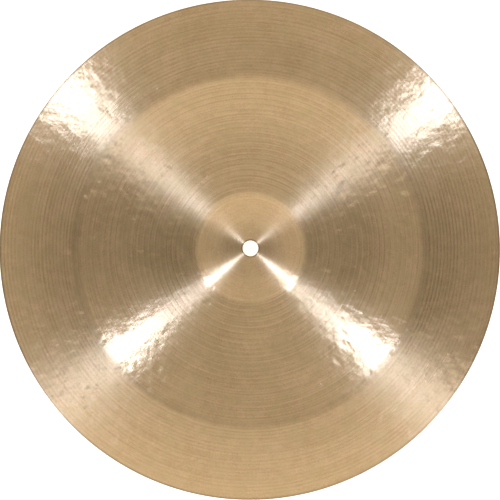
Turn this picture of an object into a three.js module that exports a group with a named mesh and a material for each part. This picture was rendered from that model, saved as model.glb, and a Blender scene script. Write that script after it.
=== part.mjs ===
// China cymbal, 16 inches across: one disc of cast, hammered and lathed bronze. The mounting hole pierces a
// domed bell, the bow falls away from the bell, and past a tight fold the flange turns up to the rim.
// Lengths are in millimetres and slopes in degrees. +Z points up along the axis of the hole. The origin is on
// that axis, in the plane that the foot of the fold rests on when the cymbal lies bell up.

import * as THREE from "three";

// Diameters, from the rim inwards. The bow is nearly level as far as its shelf, then turns into a cone.
// The bell is a dome as far as its shoulder, and its side goes on nearly straight from there.
const rimDiameter = 406.4;
const foldDiameter = 287;
const bowConeDiameter = 230;
const bowShelfDiameter = 152;
const bellDiameter = 96;
const bellShoulderDiameter = 62;
const crownDiameter = 19;
const holeDiameter = 12.6;

// Radii of the two hollow turns of the upper face
const bellRootRadius = 14;
const foldRadius = 24;

// Slopes of the upper face, negative where it falls outwards
const bellShoulderSlope = -33;
const bellSideSlope = -34;
const bellFootSlope = -0.5;
const bowShelfSlope = -1.5;
const bowConeSlope = -10;
const bowOuterSlope = -11;
const flangeInnerSlope = 9;
const flangeOuterSlope = 20;

// The foot of the fold is a flat land, which the face leaves at this slope on either side
const footSlope = 3;

// Thickness, which the lathe takes down from the crown to the rim
const crownThickness = 1.2;
const bellThickness = 1.02;
const bowShelfThickness = 0.96;
const bowConeThickness = 0.87;
const foldThickness = 0.8;
const rimThickness = 0.6;

// The bevel round both ends of the hole
const holeBevel = 0.35;

// Steps along each stretch of the profile, and round the axis
const bellSteps = 5;
const bellSideSteps = 1;
const bellRootSteps = 4;
const bowShelfSteps = 1;
const bowTurnSteps = 4;
const bowConeSteps = 1;
const foldSteps = 2;
const footSteps = 1;
const flangeSteps = 4;
const rimSteps = 4;
const turnSegments = 96;

// Angles and shares that hold for any size
const level = 0;
const rightAngle = 90;
const halfTurn = 180;
const middleShare = 0.5;

const bronze = new THREE.MeshStandardMaterial({
  name: "bronze",
  color: new THREE.Color(0.85, 0.57, 0.3),
  roughness: 0.32,
  metalness: 1,
});

const sine = (slope) => Math.sin(THREE.MathUtils.degToRad(slope));
const cosine = (slope) => Math.cos(THREE.MathUtils.degToRad(slope));

// How far out an arc of this radius reaches while its slope changes.
function reach(arcRadius, fromSlope, toSlope) {
  return arcRadius * (sine(toSlope) - sine(fromSlope));
}

// A stretch of the upper face goes on from the last place to this radius, slope and thickness.
function stretch(toRadius, toSlope, toThickness, steps) {
  return { toRadius, toSlope, toThickness, steps };
}

// The stretches of the upper face outside the crown, in order. Each one is a single arc.
function stretches() {
  const bellRadius = bellDiameter / 2;
  const bellRootWidth = reach(bellRootRadius, bellSideSlope, bellFootSlope);
  const foldMiddle = foldDiameter / 2;
  const foldInnerWidth = reach(foldRadius, bowOuterSlope, level);
  const foldOuterWidth = reach(foldRadius, level, flangeInnerSlope);
  const footHalfWidth = reach(foldRadius, level, footSlope);
  const rimEdgeWidth = (rimThickness / 2) * (1 + sine(flangeOuterSlope));
  return [
    stretch(bellShoulderDiameter / 2, bellShoulderSlope, bellThickness, bellSteps),
    stretch(bellRadius - bellRootWidth, bellSideSlope, bellThickness, bellSideSteps),
    stretch(bellRadius, bellFootSlope, bellThickness, bellRootSteps),
    stretch(bowShelfDiameter / 2, bowShelfSlope, bowShelfThickness, bowShelfSteps),
    stretch(bowConeDiameter / 2, bowConeSlope, bowConeThickness, bowTurnSteps),
    stretch(foldMiddle - foldInnerWidth, bowOuterSlope, foldThickness, bowConeSteps),
    stretch(foldMiddle - footHalfWidth, -footSlope, foldThickness, foldSteps),
    stretch(foldMiddle + footHalfWidth, footSlope, foldThickness, footSteps),
    stretch(foldMiddle + foldOuterWidth, flangeInnerSlope, foldThickness, foldSteps),
    stretch(rimDiameter / 2 - rimEdgeWidth, flangeOuterSlope, rimThickness, flangeSteps),
  ];
}

// The places along the arc of one stretch, which starts at the last place and is even in its turn.
function placesAlong(last, { toRadius, toSlope, toThickness, steps }) {
  const arcRadius = (toRadius - last.radius) / (sine(toSlope) - sine(last.slope));
  const places = [];
  for (let step = 1; step <= steps; step += 1) {
    const share = step / steps;
    const slope = THREE.MathUtils.lerp(last.slope, toSlope, share);
    places.push({
      radius: last.radius + reach(arcRadius, last.slope, slope),
      height: last.height + arcRadius * (cosine(last.slope) - cosine(slope)),
      slope,
      thickness: THREE.MathUtils.lerp(last.thickness, toThickness, share),
    });
  }
  return places;
}

// The upper face from the bevel of the hole to the edge of the rim. The crown is a level land.
function upperFace() {
  const crownPlace = (radius) => ({ radius, height: 0, slope: level, thickness: crownThickness });
  const places = [crownPlace(holeDiameter / 2 + holeBevel), crownPlace(crownDiameter / 2)];
  for (const each of stretches()) {
    places.push(...placesAlong(places.at(-1), each));
  }
  return places;
}

// The point under a place, square to the upper face, at this share of the thickness.
function pointUnder({ radius, height, slope, thickness }, share) {
  const depth = thickness * share;
  return new THREE.Vector2(radius + depth * sine(slope), height - depth * cosine(slope));
}

// The half round edge between the two faces at the rim, without its ends.
function rimEdge(last) {
  const middle = pointUnder(last, middleShare);
  const edgeRadius = last.thickness / 2;
  const points = [];
  for (let step = 1; step < rimSteps; step += 1) {
    const angle = last.slope + rightAngle - (halfTurn * step) / rimSteps;
    const outward = new THREE.Vector2(cosine(angle), sine(angle));
    points.push(outward.multiplyScalar(edgeRadius).add(middle));
  }
  return points;
}

// The wall of the hole between its two bevels, from the under face up.
function holeWall(upperHeight, underHeight) {
  const holeRadius = holeDiameter / 2;
  return [
    new THREE.Vector2(holeRadius, underHeight + holeBevel),
    new THREE.Vector2(holeRadius, upperHeight - holeBevel),
  ];
}

// The closed section through the disc, raised so that the foot of the fold is at height zero.
function section() {
  const places = upperFace();
  const upper = places.map((each) => pointUnder(each, 0));
  const under = places.map((each) => pointUnder(each, 1)).reverse();
  const wall = holeWall(upper[0].y, under.at(-1).y);
  const outline = [...upper, ...rimEdge(places.at(-1)), ...under, ...wall, upper[0].clone()];
  const foot = Math.min(...under.map((point) => point.y));
  outline.forEach((point) => {
    point.y -= foot;
  });
  return outline;
}

// The section turned about the axis. LatheGeometry turns it about +Y, so the disc is then tipped level.
function discGeometry() {
  const outline = section().reverse();
  return new THREE.LatheGeometry(outline, turnSegments).rotateX(THREE.MathUtils.degToRad(rightAngle));
}

const cymbal = new THREE.Mesh(discGeometry(), bronze);
cymbal.name = "cymbal";

const part = new THREE.Group();
part.add(cymbal);

export default part;
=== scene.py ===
import math

import bpy
import numpy as np
from mathutils import Matrix, Vector


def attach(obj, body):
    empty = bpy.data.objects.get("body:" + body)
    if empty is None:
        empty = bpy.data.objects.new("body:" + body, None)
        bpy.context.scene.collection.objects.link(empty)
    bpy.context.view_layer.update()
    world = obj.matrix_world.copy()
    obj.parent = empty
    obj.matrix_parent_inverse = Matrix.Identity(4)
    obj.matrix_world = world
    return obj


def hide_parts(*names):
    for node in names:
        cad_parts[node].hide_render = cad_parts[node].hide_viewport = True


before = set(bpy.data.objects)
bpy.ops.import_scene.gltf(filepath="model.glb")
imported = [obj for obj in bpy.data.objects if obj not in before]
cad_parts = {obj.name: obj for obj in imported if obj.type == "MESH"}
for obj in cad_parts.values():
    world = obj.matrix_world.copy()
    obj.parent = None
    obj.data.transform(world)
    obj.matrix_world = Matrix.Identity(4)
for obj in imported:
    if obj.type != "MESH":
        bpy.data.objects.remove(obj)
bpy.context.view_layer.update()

# China cymbal, 16 inches across: the looks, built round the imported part. It is one piece without joints.
# Lengths are in metres, and slopes and other angles in degrees where no comment says radians. Places are
# in the part's own frame: +Z is up along the axis of the mounting hole, and the foot of the fold rests at
# height zero.

# Angles: a full turn in radians, and the rest in degrees
FULL_TURN = 2 * math.pi
HALF_TURN = 180
RIGHT_ANGLE = 90

# Diameters, from the rim inwards
RIM_DIAMETER = 0.4064
FOLD_DIAMETER = 0.287
BOW_CONE_DIAMETER = 0.230
BOW_SHELF_DIAMETER = 0.152
BELL_DIAMETER = 0.096
BELL_SHOULDER_DIAMETER = 0.062
CROWN_DIAMETER = 0.019
HOLE_DIAMETER = 0.0126
HOLE_BEVEL = 0.00035

# Radii of the two hollow turns of the upper face
BELL_ROOT_RADIUS = 0.014
FOLD_RADIUS = 0.024

# Slopes of the upper face, negative where it falls outwards
LEVEL = 0.0
BELL_SHOULDER_SLOPE = -33.0
BELL_SIDE_SLOPE = -34.0
BELL_FOOT_SLOPE = -0.5
BOW_SHELF_SLOPE = -1.5
BOW_CONE_SLOPE = -10.0
BOW_OUTER_SLOPE = -11.0
FLANGE_INNER_SLOPE = 9.0
FLANGE_OUTER_SLOPE = 20.0

# Thickness from the crown to the rim
CROWN_THICKNESS = 0.0012
BELL_THICKNESS = 0.00102
BOW_SHELF_THICKNESS = 0.00096
BOW_CONE_THICKNESS = 0.00087
FOLD_THICKNESS = 0.0008
RIM_THICKNESS = 0.0006

# Vertices round each ring, and steps from ring to ring along each stretch of the upper face
AROUND = 600
CROWN_STEPS = 2
BELL_STEPS = 11
BELL_SIDE_STEPS = 4
BELL_ROOT_STEPS = 8
BOW_SHELF_STEPS = 12
BOW_TURN_STEPS = 19
BOW_CONE_STEPS = 12
FOLD_STEPS = 10
FLANGE_STEPS = 26
RIM_STEPS = 5

# The share of those steps on each face, the fewest that a stretch gets, and the angle from which on faces
# meet at a sharp edge
UPPER_STEP_SHARE = 1.0
UNDER_STEP_SHARE = 0.5
FEWEST_STEPS = 2
EDGE_ANGLE = 35

# How far past its end a stretch still holds, and how many places the search for the foot tries
STRETCH_SLACK = 1e-9
FOOT_PLACES = 4001


def sine(slope):
    return np.sin(np.radians(slope))


def cosine(slope):
    return np.cos(np.radians(slope))


def reach(arc_radius, from_slope, to_slope):
    """How far out an arc of this radius reaches while its slope changes."""
    return arc_radius * (sine(to_slope) - sine(from_slope))


class Stretch:
    """One arc of the upper face, from its start to the radius and slope of its end."""

    def __init__(self, start, to_radius, to_slope, to_thickness, steps):
        self.radius, self.height, self.slope, self.thickness = start
        self.to_radius = to_radius
        self.to_slope = to_slope
        self.to_thickness = to_thickness
        self.steps = steps
        turn = sine(to_slope) - sine(self.slope)
        self.arc = (to_radius - self.radius) / turn if turn else None

    def at(self, radius):
        """Height, slope and thickness at these radii. A level stretch has the same ones all over."""
        if self.arc is None:
            return self.height, self.slope, self.thickness
        slope = np.degrees(np.arcsin(sine(self.slope) + (radius - self.radius) / self.arc))
        height = self.height + self.arc * (cosine(self.slope) - cosine(slope))
        share = (slope - self.slope) / (self.to_slope - self.slope)
        return height, slope, self.thickness + share * (self.to_thickness - self.thickness)

    def end(self):
        return self.to_radius, *self.at(self.to_radius)


def upper_face():
    """The stretches of the upper face from the bevel of the hole to the edge of the rim."""
    bell = BELL_DIAMETER / 2
    root_width = reach(BELL_ROOT_RADIUS, BELL_SIDE_SLOPE, BELL_FOOT_SLOPE)
    fold = FOLD_DIAMETER / 2
    fold_inner = fold - reach(FOLD_RADIUS, BOW_OUTER_SLOPE, LEVEL)
    fold_outer = fold + reach(FOLD_RADIUS, LEVEL, FLANGE_INNER_SLOPE)
    rim_edge = RIM_THICKNESS / 2 * (1 + sine(FLANGE_OUTER_SLOPE))
    ends = [
        (CROWN_DIAMETER / 2, LEVEL, CROWN_THICKNESS, CROWN_STEPS),
        (BELL_SHOULDER_DIAMETER / 2, BELL_SHOULDER_SLOPE, BELL_THICKNESS, BELL_STEPS),
        (bell - root_width, BELL_SIDE_SLOPE, BELL_THICKNESS, BELL_SIDE_STEPS),
        (bell, BELL_FOOT_SLOPE, BELL_THICKNESS, BELL_ROOT_STEPS),
        (BOW_SHELF_DIAMETER / 2, BOW_SHELF_SLOPE, BOW_SHELF_THICKNESS, BOW_SHELF_STEPS),
        (BOW_CONE_DIAMETER / 2, BOW_CONE_SLOPE, BOW_CONE_THICKNESS, BOW_TURN_STEPS),
        (fold_inner, BOW_OUTER_SLOPE, FOLD_THICKNESS, BOW_CONE_STEPS),
        (fold_outer, FLANGE_INNER_SLOPE, FOLD_THICKNESS, FOLD_STEPS),
        (RIM_DIAMETER / 2 - rim_edge, FLANGE_OUTER_SLOPE, RIM_THICKNESS, FLANGE_STEPS),
    ]
    stretches = []
    start = (HOLE_DIAMETER / 2 + HOLE_BEVEL, 0.0, LEVEL, CROWN_THICKNESS)
    for end in ends:
        stretches.append(Stretch(start, *end))
        start = stretches[-1].end()
    return stretches


STRETCHES = upper_face()


def surface(radius):
    """Height, slope and thickness of the upper face at these radii. Heights are from the crown."""
    radius = np.asarray(radius, float)
    height, slope, thickness = np.zeros_like(radius), np.zeros_like(radius), np.zeros_like(radius)
    for each in STRETCHES:
        inside = (radius >= each.radius) & (radius <= each.to_radius + STRETCH_SLACK)
        height[inside], slope[inside], thickness[inside] = each.at(radius[inside])
    return height, slope, thickness


def foot_height():
    """The lowest height of the under face, which the disc rests on."""
    fold = FOLD_DIAMETER / 2
    height, slope, thickness = surface(np.linspace(fold - FOLD_RADIUS, fold + FOLD_RADIUS, FOOT_PLACES))
    return float(np.min(height - thickness * cosine(slope)))


FOOT = foot_height()


def ring_radii(share):
    """Radii of the rings of vertices along the stretches, with this share of the steps."""
    radii = [STRETCHES[0].radius]
    for each in STRETCHES:
        steps = max(FEWEST_STEPS, round(each.steps * share))
        radii += list(np.linspace(each.radius, each.to_radius, steps + 1)[1:])
    return np.array(radii)


# Hammer marks: their spacing and half width, where they lie, the usual depth, how widely depths spread, and
# the deepest there is
MARK_SPACING = 0.0095
MARK_HALF_WIDTH = 0.0040
MARK_INNER_RADIUS = 0.056
MARK_OUTER_RADIUS = 0.199
MARK_DEPTH = 0.000026
MARK_DEPTH_SPREAD = 1.0
MARK_DEEPEST = 0.00016

# How far chance moves a mark along its ring and across it, in spacings, how far it turns one, in radians,
# and its least and greatest half length and half width, as shares of the usual half width
MARK_ALONG_SHARE = 0.4
MARK_ACROSS_SHARE = 0.5
MARK_TURN_SPREAD = 0.8
MARK_LENGTH_SHARES = (0.9, 1.4)
MARK_WIDTH_SHARES = (0.6, 1.2)

# The share of the depth on the flange and on each face, and the seed of each face's marks
FLANGE_MARK_SHARE = 0.6
UPPER_MARK_SHARE = 1.0
UNDER_MARK_SHARE = 0.5
UPPER_MARK_SEED = 11
UNDER_MARK_SEED = 12


class Marks:
    """Shallow oval marks of the hammer, laid out ring by ring, most of them light and a few deep."""

    def __init__(self, seed, share):
        rng = np.random.default_rng(seed)
        marks = []
        for ring in np.arange(MARK_INNER_RADIUS, MARK_OUTER_RADIUS, MARK_SPACING):
            count = int(FULL_TURN * ring / MARK_SPACING)
            places = np.arange(count) + rng.uniform(-MARK_ALONG_SHARE, MARK_ALONG_SHARE, count)
            for angle in FULL_TURN * places / count:
                away = ring + MARK_SPACING * rng.uniform(-MARK_ACROSS_SHARE, MARK_ACROSS_SHARE)
                depth = share * MARK_DEPTH * math.exp(MARK_DEPTH_SPREAD * rng.normal())
                if away > FOLD_DIAMETER / 2:
                    depth *= FLANGE_MARK_SHARE
                turn = angle + MARK_TURN_SPREAD * rng.normal()
                length = MARK_HALF_WIDTH * rng.uniform(*MARK_LENGTH_SHARES)
                width = MARK_HALF_WIDTH * rng.uniform(*MARK_WIDTH_SHARES)
                x, y = away * math.cos(angle), away * math.sin(angle)
                marks.append((x, y, turn, length, width, min(depth, MARK_DEEPEST)))
        self.marks = marks

    def depth_at(self, x, y):
        """The depth at these places. Marks that overlap add up, as far as the deepest there is."""
        total = np.zeros_like(x)
        for mark_x, mark_y, turn, length, width, depth in self.marks:
            near = (np.abs(x - mark_x) < length) & (np.abs(y - mark_y) < length)
            dx, dy = x[near] - mark_x, y[near] - mark_y
            along = (dx * math.cos(turn) + dy * math.sin(turn)) / length
            across = (dy * math.cos(turn) - dx * math.sin(turn)) / width
            total[near] += depth * np.clip(1 - along ** 2 - across ** 2, 0, None) ** 2
        return np.minimum(total, MARK_DEEPEST)


def rings_of(radius, height, around):
    """Vertices of rings at these radii and heights: an array by ring, place round the axis and x, y, z."""
    angles = np.linspace(0, FULL_TURN, around, endpoint=False)
    x = radius[:, None] * np.cos(angles)
    y = radius[:, None] * np.sin(angles)
    z = np.repeat(height[:, None], around, axis=1)
    return np.stack([x, y, z], axis=2)


def ring_faces(ring_count, around, closed):
    """Faces of four corners between rings of vertices. If closed, the last ring joins the first as well."""
    rings = np.arange(ring_count if closed else ring_count - 1)
    ring, place = np.meshgrid(rings, np.arange(around), indexing="ij")
    next_ring, next_place = (ring + 1) % ring_count, (place + 1) % around
    corners = [ring * around + place, next_ring * around + place,
               next_ring * around + next_place, ring * around + next_place]
    return np.stack(corners, axis=2).reshape(-1, 4)


def smooth_mesh(name, vertices, faces, material):
    """A new mesh of this one material, shaded smoothly."""
    mesh = bpy.data.meshes.new(name)
    mesh.from_pydata(vertices, [], faces)
    mesh.shade_smooth()
    mesh.materials.append(material)
    return mesh


def add_to_scene(name, data):
    """A new object that holds this mesh, lamp or camera."""
    added = bpy.data.objects.new(name, data)
    bpy.context.scene.collection.objects.link(added)
    return added


def upper_rings(marks):
    """Rings of the upper face from the hole outwards, which the marks dent. The end rings stay plain."""
    radius = ring_radii(UPPER_STEP_SHARE)
    rings = rings_of(radius, surface(radius)[0], AROUND)
    rings[1:-1, :, 2] -= marks.depth_at(rings[1:-1, :, 0], rings[1:-1, :, 1])
    return rings


def rim_rings():
    """Rings of the half round edge between the two faces at the rim."""
    last_radius = STRETCHES[-1].to_radius
    height, slope, thickness = (float(values[0]) for values in surface([last_radius]))
    half = thickness / 2
    middle_radius = last_radius + half * sine(slope)
    middle_height = height - half * cosine(slope)
    turn = slope + RIGHT_ANGLE - HALF_TURN * np.arange(1, RIM_STEPS) / RIM_STEPS
    return rings_of(middle_radius + half * cosine(turn), middle_height + half * sine(turn), AROUND)


def under_rings(marks):
    """Rings of the under face from the rim inwards, square below the upper one, dented from below."""
    radius = ring_radii(UNDER_STEP_SHARE)[::-1]
    height, slope, thickness = surface(radius)
    rings = rings_of(radius + thickness * sine(slope), height - thickness * cosine(slope), AROUND)
    rings[1:-1, :, 2] += marks.depth_at(rings[1:-1, :, 0], rings[1:-1, :, 1])
    return rings


def hole_rings():
    """The two rings of the hole's wall between its bevels, from the under face up."""
    hole = HOLE_DIAMETER / 2
    return rings_of(np.array([hole, hole]), np.array([HOLE_BEVEL - CROWN_THICKNESS, -HOLE_BEVEL]), AROUND)


def cymbal_mesh(material):
    """The whole closed surface, raised so that the foot of the fold is at height zero."""
    rings = np.concatenate([
        upper_rings(Marks(UPPER_MARK_SEED, UPPER_MARK_SHARE)), rim_rings(),
        under_rings(Marks(UNDER_MARK_SEED, UNDER_MARK_SHARE)), hole_rings()])
    rings[:, :, 2] -= FOOT
    faces = ring_faces(len(rings), AROUND, closed=True)
    mesh = smooth_mesh("cymbal_disc", rings.reshape(-1, 3).tolist(), faces.tolist(), material)
    mesh.set_sharp_from_angle(angle=math.radians(EDGE_ANGLE))
    return mesh


# Materials

# Nearly all of a noise lies in this range, and each layer of its detail is this share of the one before
NOISE_RANGE = (0.35, 0.65)
NOISE_LAYER_SHARE = 0.6

# A new stop of a colour ramp starts here, and then moves to its own place
NEW_STOP_PLACE = 0.5


class Nodes:
    """Adds nodes to a shader tree and links them. A value may be a number, a colour or a node's socket."""

    def __init__(self, tree):
        self.tree = tree
        tree.nodes.clear()

    def add(self, kind, inputs=None, **settings):
        node = self.tree.nodes.new(kind)
        for name, value in settings.items():
            setattr(node, name, value)
        for name, value in (inputs or {}).items():
            self.set(node.inputs[name], value)
        return node

    def set(self, socket, value):
        """Links another node's socket to this one, or gives it a plain value."""
        if isinstance(value, bpy.types.NodeSocket):
            self.tree.links.new(value, socket)
        else:
            socket.default_value = value

    def math(self, operation, *values):
        node = self.add("ShaderNodeMath", operation=operation)
        for socket, value in zip(node.inputs, values):
            self.set(socket, value)
        return node.outputs[0]

    def times(self, first, second):
        return self.math("MULTIPLY", first, second)

    def total(self, *values):
        result = values[0]
        for value in values[1:]:
            result = self.math("ADD", result, value)
        return result

    def ramp(self, value, edges, levels, smooth=False):
        """From the first level to the second while the value goes from the first edge to the second."""
        kind = "SMOOTHSTEP" if smooth else "LINEAR"
        node = self.add("ShaderNodeMapRange", {"Value": value, "From Min": edges[0], "From Max": edges[1],
                                               "To Min": levels[0], "To Max": levels[1]},
                        interpolation_type=kind)
        return node.outputs["Result"]

    def curve(self, value, places, levels):
        """Levels at these places of a value from 0 to 1, with straight lines between them."""
        node = self.add("ShaderNodeValToRGB", {"Fac": value})
        stops = node.color_ramp.elements
        while len(stops) < len(places):
            stops.new(NEW_STOP_PLACE)
        for stop, place, level in zip(stops, places, levels):
            stop.position = place
            stop.color = (level, level, level, 1)
        return node.outputs["Color"]

    def mix(self, factor, first, second):
        node = self.add("ShaderNodeMix", {"Factor": factor}, data_type="RGBA")
        for socket, value in zip((s for s in node.inputs if s.type == "RGBA"), (first, second)):
            self.set(socket, value)
        return next(s for s in node.outputs if s.type == "RGBA")

    def noise(self, vector, scale, detail):
        node = self.add("ShaderNodeTexNoise", {"Vector": vector, "Scale": scale, "Detail": detail,
                                               "Roughness": NOISE_LAYER_SHARE}, noise_dimensions="3D")
        return node.outputs["Fac"]

    def spread(self, noise, levels=(-1.0, 1.0)):
        """A noise spread over these levels."""
        return self.ramp(noise, NOISE_RANGE, levels)


# Bronze: two tones of it with olive patches, the darker skin at the rim, and the same dark colour as
# painted shade round the hole
BRONZE_DARK = (0.720, 0.500, 0.286, 1)
BRONZE_LIGHT = (0.940, 0.680, 0.425, 1)
BRONZE_OLIVE = (0.770, 0.600, 0.335, 1)
OLIVE_SHARE = 0.5
TARNISH_AND_PAINTED_SHADE = (0.42, 0.30, 0.17, 1)
HOLE_PAINTED_SHADE_RADII = (0.0068, 0.0078)
RIM_TARNISH_RADII = (0.2014, 0.2030)
RIM_TARNISH_SHARE = 0.55

# Roughness of the bell and of the rest, with the radii between which it changes, and what the clouds add.
# The metal is brushed round the axis: its shine is fully drawn out, and a quarter turn sends it outwards.
BELL_ROUGHNESS = 0.38
ROUGHNESS = 0.302
BELL_ROUGHNESS_RADII = (0.036, 0.048)
CLOUD_ROUGHNESS = 0.015
ANISOTROPY = 1.0
ANISOTROPY_TURN = 0.25

# The three sets of lathe lines, coarse and fine ones on the bow and those of the flange: the pitch of each,
# its height, its weight in the tone and its roughness
LINE_PITCHES = (0.00412, 0.00217, 0.00290)
LINE_HEIGHTS = (0.0000090, 0.0000050, 0.0000100)
LINE_TONES = (0.39, 0.39, 0.52)
LINE_ROUGHNESSES = (0.008, 0.008, 0.024)

# How far the lines wander, how strong they are from place to place, how they fade at the fold, and what is
# left of them on the bell
LINE_WANDER = 12.0
LINE_STRENGTHS = (0.5, 1.4)
LINE_FADE = 0.004
BELL_LINE_RADII = (0.0365, 0.0430)
BELL_LINE_SHARE = 0.40

# Weights of the finest lines and of the noises in the tone, and the tones that give the darkest and the
# lightest bronze
FINE_TONE = 0.60
CLOUD_TONE = 0.45
PATCH_TONE = 0.45
SPECK_TONE = 0.65
TONE_RANGE = (-1.2, 1.2)

# Heights of the finest lines and of the beaten metal's small waves, flakes and wide swells, and what is
# left of the beaten metal on the bell
FINE_HEIGHT = 0.0000012
WAVE_HEIGHT = 0.00007
FLAKE_HEIGHT = 0.000022
SWELL_HEIGHT = 0.00024
BELL_BEATEN_RADII = (0.022, 0.044)
BELL_BEATEN_SHARE = 0.1

# Noises by place: scale and detail
CLOUD_NOISE = (24.0, 5.0)
PATCH_NOISE = (130.0, 3.0)
SPECK_NOISE = (900.0, 1.0)
OLIVE_NOISE = (70.0, 3.0)
WAVE_NOISE = (210.0, 1.0)
SWELL_NOISE = (85.0, 1.5)

# Noises in rings: scale along a radius, scale round the disc, and detail
FINE_NOISE = (780.0, 1.0, 1.0)
WANDER_NOISE = (38.0, 0.7, 1.0)
STRENGTH_NOISE = (60.0, 1.5, 2.0)
FLAKE_NOISE = (350.0, 110.0, 1.0)


class BronzeNodes(Nodes):
    """Nodes of the cymbal's metal. Its colour, roughness and bump share the same lines and noises."""

    def __init__(self, tree):
        super().__init__(tree)
        self.place = self.add("ShaderNodeTexCoord").outputs["Object"]
        x, y = self.add("ShaderNodeSeparateXYZ", {0: self.place}).outputs[:2]
        flat = self.add("ShaderNodeCombineXYZ", {0: x, 1: y}).outputs[0]
        self.radius = self.add("ShaderNodeVectorMath", {0: flat}, operation="LENGTH").outputs["Value"]
        outward = self.add("ShaderNodeVectorMath", {0: flat}, operation="NORMALIZE").outputs["Vector"]
        self.outward = self.add("ShaderNodeSeparateXYZ", {0: outward}).outputs
        self.cloud = self.spread(self.noise(self.place, *CLOUD_NOISE))
        self.fine = self.spread(self.ring_noise(*FINE_NOISE))
        self.bell_fade = self.by_radius(BELL_LINE_RADII, (BELL_LINE_SHARE, 1.0))
        strength = self.spread(self.ring_noise(*STRENGTH_NOISE), LINE_STRENGTHS)
        self.visible = self.times(strength, self.bell_fade)
        self.lines = self.lathe_lines()

    def by_radius(self, radii, levels):
        """From the first level to the second between these two radii."""
        return self.ramp(self.radius, radii, levels, smooth=True)

    def ring_noise(self, outward_scale, round_scale, detail):
        """Noise in rings: its grain along a radius and round the disc are set apart."""
        vector = self.add("ShaderNodeCombineXYZ", {
            0: self.times(self.radius, outward_scale),
            1: self.times(self.outward[0], round_scale),
            2: self.times(self.outward[1], round_scale)}).outputs[0]
        return self.noise(vector, 1.0, detail)

    def lathe_lines(self):
        """The three sets of lathe lines as waves from -1 to 1, each set on its own side of the fold."""
        fold = FOLD_DIAMETER / 2
        bow = self.by_radius((fold - LINE_FADE, fold), (1.0, 0.0))
        flange = self.by_radius((fold, fold + LINE_FADE), (0.0, 1.0))
        wander = self.times(self.ring_noise(*WANDER_NOISE), LINE_WANDER)
        lines = []
        for pitch, side in zip(LINE_PITCHES, (bow, bow, flange)):
            turns = self.times(self.radius, FULL_TURN / pitch)
            wave = self.math("SINE", self.math("ADD", turns, wander))
            lines.append(self.times(wave, side))
        return lines

    def weighed_lines(self, weights):
        """The sets of lines added up with these weights, as strong as they are at each place."""
        weighed = [self.times(line, weight) for line, weight in zip(self.lines, weights)]
        return self.times(self.total(*weighed), self.visible)

    def colour(self):
        patch = self.spread(self.noise(self.place, *PATCH_NOISE))
        speck = self.spread(self.noise(self.place, *SPECK_NOISE))
        fine = self.times(self.fine, self.bell_fade)
        tone = self.total(
            self.weighed_lines(LINE_TONES), self.times(fine, FINE_TONE), self.times(self.cloud, CLOUD_TONE),
            self.times(patch, PATCH_TONE), self.times(speck, SPECK_TONE))
        two_tones = self.mix(self.ramp(tone, TONE_RANGE, (0.0, 1.0)), BRONZE_DARK, BRONZE_LIGHT)
        olive = self.spread(self.noise(self.place, *OLIVE_NOISE), (0.0, OLIVE_SHARE))
        # Round the hole the colour darkens to the dark colour: painted shade at the edge of the hole
        hole_painted_shade = self.by_radius(HOLE_PAINTED_SHADE_RADII, (1.0, 0.0))
        near_rim = self.by_radius(RIM_TARNISH_RADII, (0.0, RIM_TARNISH_SHARE))
        tarnish_and_painted_shade = self.math("MAXIMUM", hole_painted_shade, near_rim)
        return self.mix(tarnish_and_painted_shade, self.mix(olive, two_tones, BRONZE_OLIVE), TARNISH_AND_PAINTED_SHADE)

    def roughness(self):
        plain = self.by_radius(BELL_ROUGHNESS_RADII, (BELL_ROUGHNESS, ROUGHNESS))
        lines = self.weighed_lines(LINE_ROUGHNESSES)
        return self.total(plain, lines, self.times(self.cloud, CLOUD_ROUGHNESS))

    def bump(self):
        """The normal of the grooved and beaten surface."""
        beaten = self.total(
            self.times(self.noise(self.place, *WAVE_NOISE), WAVE_HEIGHT),
            self.times(self.ring_noise(*FLAKE_NOISE), FLAKE_HEIGHT),
            self.times(self.noise(self.place, *SWELL_NOISE), SWELL_HEIGHT))
        height = self.total(
            self.weighed_lines(LINE_HEIGHTS), self.times(self.fine, FINE_HEIGHT),
            self.times(beaten, self.by_radius(BELL_BEATEN_RADII, (BELL_BEATEN_SHARE, 1.0))))
        bump = self.add("ShaderNodeBump", {"Height": height, "Distance": 1.0, "Strength": 1.0})
        return bump.outputs["Normal"]


def bronze_material():
    material = bpy.data.materials.new("bronze")
    material.use_nodes = True
    nodes = BronzeNodes(material.node_tree)
    tangent = nodes.add("ShaderNodeTangent", direction_type="RADIAL", axis="Z")
    shader = nodes.add("ShaderNodeBsdfPrincipled", {
        "Base Color": nodes.colour(), "Metallic": 1.0, "Roughness": nodes.roughness(),
        "Normal": nodes.bump(), "Tangent": tangent.outputs["Tangent"],
        "Anisotropic": ANISOTROPY, "Anisotropic Rotation": ANISOTROPY_TURN})
    nodes.add("ShaderNodeOutputMaterial", {"Surface": shader.outputs[0]})
    return material


def make_cymbal():
    cymbal = add_to_scene("cymbal_disc", cymbal_mesh(bronze_material()))
    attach(cymbal, "root")
    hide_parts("cymbal")


# The floor: its paint and glow, and its level disc, whose edge bends up all round by this radius and angle
FLOOR_PAINT = 0.8
FLOOR_GLOW = 0.78
FLOOR_INNER_RADIUS = 0.5
FLOOR_RADIUS = 4.5
FLOOR_BEND_RADIUS = 1.6
FLOOR_BEND_ANGLE = 72
FLOOR_BEND_STEP = 6
FLOOR_SIDES = 96


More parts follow.
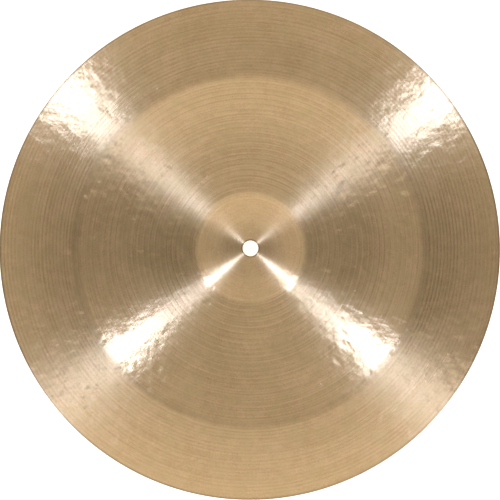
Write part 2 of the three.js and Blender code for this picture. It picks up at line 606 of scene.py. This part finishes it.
def floor_material():
    """Paint that takes the shadow, and a glow that only the camera and shiny or clear things see."""
    material = bpy.data.materials.new("pale_floor")
    material.use_nodes = True
    nodes = Nodes(material.node_tree)
    path = nodes.add("ShaderNodeLightPath").outputs
    seen = nodes.math("MAXIMUM", path["Is Camera Ray"], path["Is Glossy Ray"])
    seen = nodes.math("MAXIMUM", seen, path["Is Transmission Ray"])
    paint = nodes.add("ShaderNodeBsdfDiffuse", {"Color": (FLOOR_PAINT, FLOOR_PAINT, FLOOR_PAINT, 1)})
    glow = nodes.add("ShaderNodeEmission", {"Strength": nodes.times(seen, FLOOR_GLOW)})
    both = nodes.add("ShaderNodeAddShader", {0: paint.outputs[0], 1: glow.outputs[0]})
    nodes.add("ShaderNodeOutputMaterial", {"Surface": both.outputs[0]})
    return material


def make_floor():
    """A round floor whose far edge curves up all round, so that no view looks past it."""
    bend = np.radians(np.arange(0, FLOOR_BEND_ANGLE + 1, FLOOR_BEND_STEP))
    radius = np.concatenate([[FLOOR_INNER_RADIUS], FLOOR_RADIUS + FLOOR_BEND_RADIUS * np.sin(bend)])
    height = np.concatenate([[0.0], FLOOR_BEND_RADIUS * (1 - np.cos(bend))])
    rings = rings_of(radius, height, FLOOR_SIDES).reshape(-1, 3).tolist()
    # The vertex in the middle comes first, so those of the rings are counted from one
    middle = [(0, 1 + side, 1 + (side + 1) % FLOOR_SIDES) for side in range(FLOOR_SIDES)]
    outside = (1 + ring_faces(len(radius), FLOOR_SIDES, closed=False)).tolist()
    mesh = smooth_mesh("floor", [(0.0, 0.0, 0.0), *rings], middle + outside, floor_material())
    floor = add_to_scene("floor", mesh)


# Two soft lamps low in front and two weak ones high at the back, which draw the bright cross. Each has an
# azimuth from +X towards +Y, an angle from straight up, a width, a height and a radiance.
LAMP_DISTANCE = 1.8
LAMP_COLOUR = (0.80, 1.0, 1.50)
LAMPS = {
    "lamp_front_left": (216.8, 46.0, 0.19, 0.95, 12.4),
    "lamp_front_right": (323.9, 46.0, 0.19, 0.95, 11.8),
    "lamp_back_left": (133.0, 24.0, 0.08, 0.45, 3.2),
    "lamp_back_right": (42.2, 24.0, 0.08, 0.45, 2.8),
}

# The studio, dark overhead and bright round the sides: its level on each side, at these angles from
# straight up
STUDIO_COLOUR = (1.08, 1.0, 0.87, 1)
STUDIO_ANGLES = (0, 12, 25, 40, 60, 85)
STUDIO_LEFT = (0.010, 0.066, 0.205, 0.520, 0.520, 0.530)
STUDIO_RIGHT = (0.010, 0.058, 0.245, 0.700, 0.610, 0.590)
STUDIO_BACK = (0.010, 0.540, 0.800, 0.880, 0.910, 0.830)
STUDIO_FRONT = (0.010, 0.220, 0.455, 0.630, 0.670, 0.680)

# Where left turns into right, by the share of the level direction that points to the right, and where the
# sides turn into the front and into the back, by the square of the share that points there
STUDIO_RIGHT_EDGES = (-0.5, 0.5)
STUDIO_FRONT_EDGES = (-0.08, 0.20)
STUDIO_BACK_EDGES = (0.29, 0.48)

# The least length of the level direction, which keeps a direction straight up from dividing by zero
LEAST_LEVEL_LENGTH = 0.001


def soft_lamp(name, azimuth, from_zenith, width, height, radiance):
    """A rectangular lamp that faces the middle of the disc. Its power is radiance times area times pi."""
    data = bpy.data.lights.new(name, "AREA")
    data.shape = "RECTANGLE"
    data.size = width
    data.size_y = height
    data.energy = radiance * width * height * math.pi
    data.color = LAMP_COLOUR
    turn, tilt = math.radians(azimuth), math.radians(from_zenith)
    away = Vector((math.cos(turn) * math.sin(tilt), math.sin(turn) * math.sin(tilt), math.cos(tilt)))
    lamp = add_to_scene(name, data)
    lamp.location = away * LAMP_DISTANCE
    lamp.rotation_euler = away.to_track_quat("Z", "Y").to_euler()


def make_studio():
    """Light from all round by direction: its level depends on the height and on the side."""
    world = bpy.data.worlds.new("studio")
    bpy.context.scene.world = world
    world.use_nodes = True
    nodes = Nodes(world.node_tree)
    direction = nodes.add("ShaderNodeTexCoord").outputs["Generated"]
    x, y, z = nodes.add("ShaderNodeSeparateXYZ", {0: direction}).outputs
    from_zenith = nodes.math("ARCCOSINE", nodes.math("MAXIMUM", z, 0.0))
    from_zenith = nodes.math("DIVIDE", from_zenith, math.radians(RIGHT_ANGLE))
    places = [angle / RIGHT_ANGLE for angle in STUDIO_ANGLES]
    left, right, back, front = (nodes.curve(from_zenith, places, levels) for levels in
                                (STUDIO_LEFT, STUDIO_RIGHT, STUDIO_BACK, STUDIO_FRONT))
    level_length = nodes.math("SQRT", nodes.total(nodes.times(x, x), nodes.times(y, y)))
    level_length = nodes.math("MAXIMUM", level_length, LEAST_LEVEL_LENGTH)
    sideways = nodes.math("DIVIDE", x, level_length)
    lengthways = nodes.math("DIVIDE", y, level_length)
    square = nodes.times(lengthways, lengthways)
    sides = nodes.mix(nodes.ramp(sideways, STUDIO_RIGHT_EDGES, (0.0, 1.0)), left, right)
    behind = nodes.math("GREATER_THAN", y, 0.0)
    ends = nodes.mix(behind, front, back)
    share = nodes.mix(behind, nodes.ramp(square, STUDIO_FRONT_EDGES, (0.0, 1.0), smooth=True),
                      nodes.ramp(square, STUDIO_BACK_EDGES, (0.0, 1.0), smooth=True))
    level = nodes.mix(share, sides, ends)
    light = nodes.add("ShaderNodeBackground", {"Color": STUDIO_COLOUR, "Strength": level})
    nodes.add("ShaderNodeOutputWorld", {"Surface": light.outputs[0]})


# The picture is square, and its pixels are counted from zero at their centres. These are the middle of the
# picture, the centre of the rim's circle in it, and the rim's radius at which the render's outline matches.
IMAGE_SIDE = 500
IMAGE_CENTRE_PX = 249.5
RIM_CENTRE_PX = (249.26, 249.24)
RIM_RADIUS_PX = 250.4

# The camera: its distance from the rim's plane, how many degrees it stands off the axis towards +X and
# towards +Y, and the width of its sensor
CAMERA_DISTANCE = 2.0
CAMERA_LEAN_X = -1.2
CAMERA_LEAN_Y = -2.2
SENSOR_MM = 36.0


def make_camera():
    """Looks straight down from above, leaning a little, with the top of the picture towards +Y."""
    scale = RIM_DIAMETER / 2 / RIM_RADIUS_PX
    lean_x, lean_y = sine(CAMERA_LEAN_X), sine(CAMERA_LEAN_Y)
    back = Vector((lean_x, lean_y, math.sqrt(1 - lean_x ** 2 - lean_y ** 2)))
    right = Vector((0, 1, 0)).cross(back).normalized()
    up = back.cross(right)
    rim_height = float(surface([STRETCHES[-1].to_radius])[0][0]) - FOOT
    target = Vector((0, 0, rim_height))
    # The near side of the rim looks larger, which moves the centre of its outline towards that side
    outline_shift = (RIM_DIAMETER / 2) ** 2 / CAMERA_DISTANCE
    target -= right * ((RIM_CENTRE_PX[0] - IMAGE_CENTRE_PX) * scale - outline_shift * lean_x)
    target -= up * ((IMAGE_CENTRE_PX - RIM_CENTRE_PX[1]) * scale - outline_shift * lean_y)
    data = bpy.data.cameras.new("camera")
    data.sensor_width = SENSOR_MM
    data.lens = SENSOR_MM * CAMERA_DISTANCE / (IMAGE_SIDE * scale)
    camera = add_to_scene("camera", data)
    camera.matrix_world = Matrix((
        (right.x, up.x, back.x, 0), (right.y, up.y, back.y, 0), (right.z, up.z, back.z, 0), (0, 0, 0, 1)))
    camera.location = target + back * CAMERA_DISTANCE
    bpy.context.scene.camera = camera


make_cymbal()
make_floor()
for name, settings in LAMPS.items():
    soft_lamp(name, *settings)
make_studio()
make_camera()
bpy.context.scene.view_settings.view_transform = "Standard"
